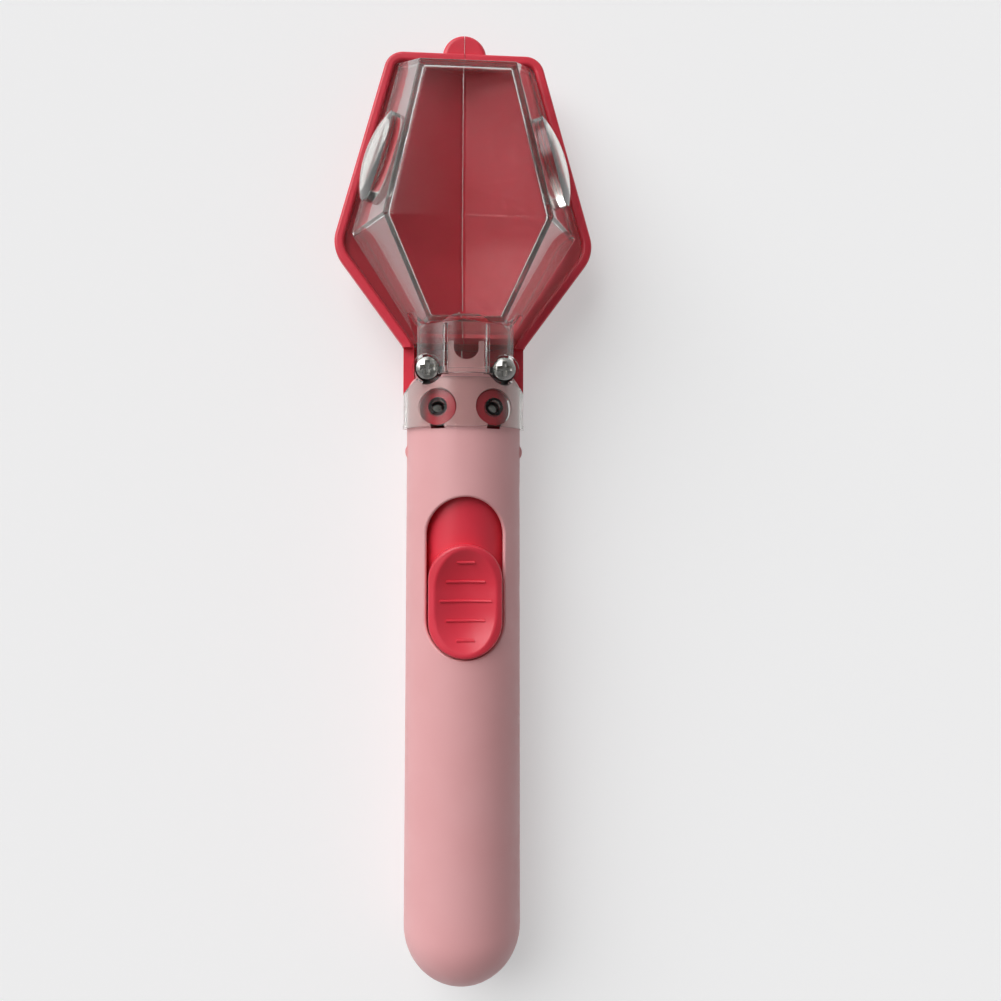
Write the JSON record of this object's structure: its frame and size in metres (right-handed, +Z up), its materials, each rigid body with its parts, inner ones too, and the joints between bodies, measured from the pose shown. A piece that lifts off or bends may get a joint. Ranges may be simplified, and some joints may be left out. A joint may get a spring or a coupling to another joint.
{
  "type": "insect catcher",
  "caption": "Hand-held insect catcher: a round pink handle with a thumb slider that swings two dished red doors sideways from under a clear faceted viewing chamber with side lenses.",
  "frame": {"origin": "middle of the object seen from above, on the plane that the back of the handle rests on", "axes": "+Y along the handle towards the head and its tab, +Z up from the back towards the thumb slider and the dome, +X to the right seen from above"},
  "size_m": [0.0674, 0.2478, 0.0397],
  "materials": {
    "pink_plastic": "smooth satin moulding",
    "red_plastic": "smooth semi-gloss moulding",
    "clear_plastic": "clear polished moulding",
    "clear_lens": "clear polished lens",
    "zinc_steel": "bright zinc",
    "spring_steel": "drawn spring wire"
  },
  "bodies": {
    "handle": {"top_shell": "pink_plastic", "bottom_shell": "pink_plastic", "viewing_chamber": "clear_plastic", "left_lens": "clear_lens", "right_lens": "clear_lens", "chamber_screws": "zinc_steel", "pivot_screws": "zinc_steel", "pivot_washers": "zinc_steel", "pivot_bushes": "red_plastic", "shell_screws": "zinc_steel", "door_spring": "spring_steel"},
    "slider": {"thumb_slider": "red_plastic", "slider_carriage": "red_plastic", "carriage_screws": "zinc_steel"},
    "left_door": {"left_door": "red_plastic", "left_drive_pin": "zinc_steel"},
    "right_door": {"right_door": "red_plastic", "right_drive_pin": "zinc_steel"}
  },
  "joints": [
    {"name": "slider_push", "type": "slide", "parent": "handle", "child": "slider", "axis": [0, 1, 0], "range_m": [0, 0.0115], "stiffness_N_per_m": 120, "springref_m": -0.01},
    {"name": "left_door_swing", "type": "hinge", "parent": "handle", "child": "left_door", "pos_m": [-0.00695, 0.0243, 0.01], "axis": [0, 0, 1], "range_deg": [0, 38], "deforming": ["door_spring"]},
    {"name": "right_door_swing", "type": "hinge", "parent": "handle", "child": "right_door", "pos_m": [0.00695, 0.0243, 0.01], "axis": [0, 0, -1], "range_deg": [0, 38], "deforming": ["door_spring"]}
  ],
  "couplings": [
    {"joint": "left_door_swing", "follows": "slider_push", "rad_per_m": 57.672},
    {"joint": "right_door_swing", "follows": "slider_push", "rad_per_m": 57.672}
  ]
}
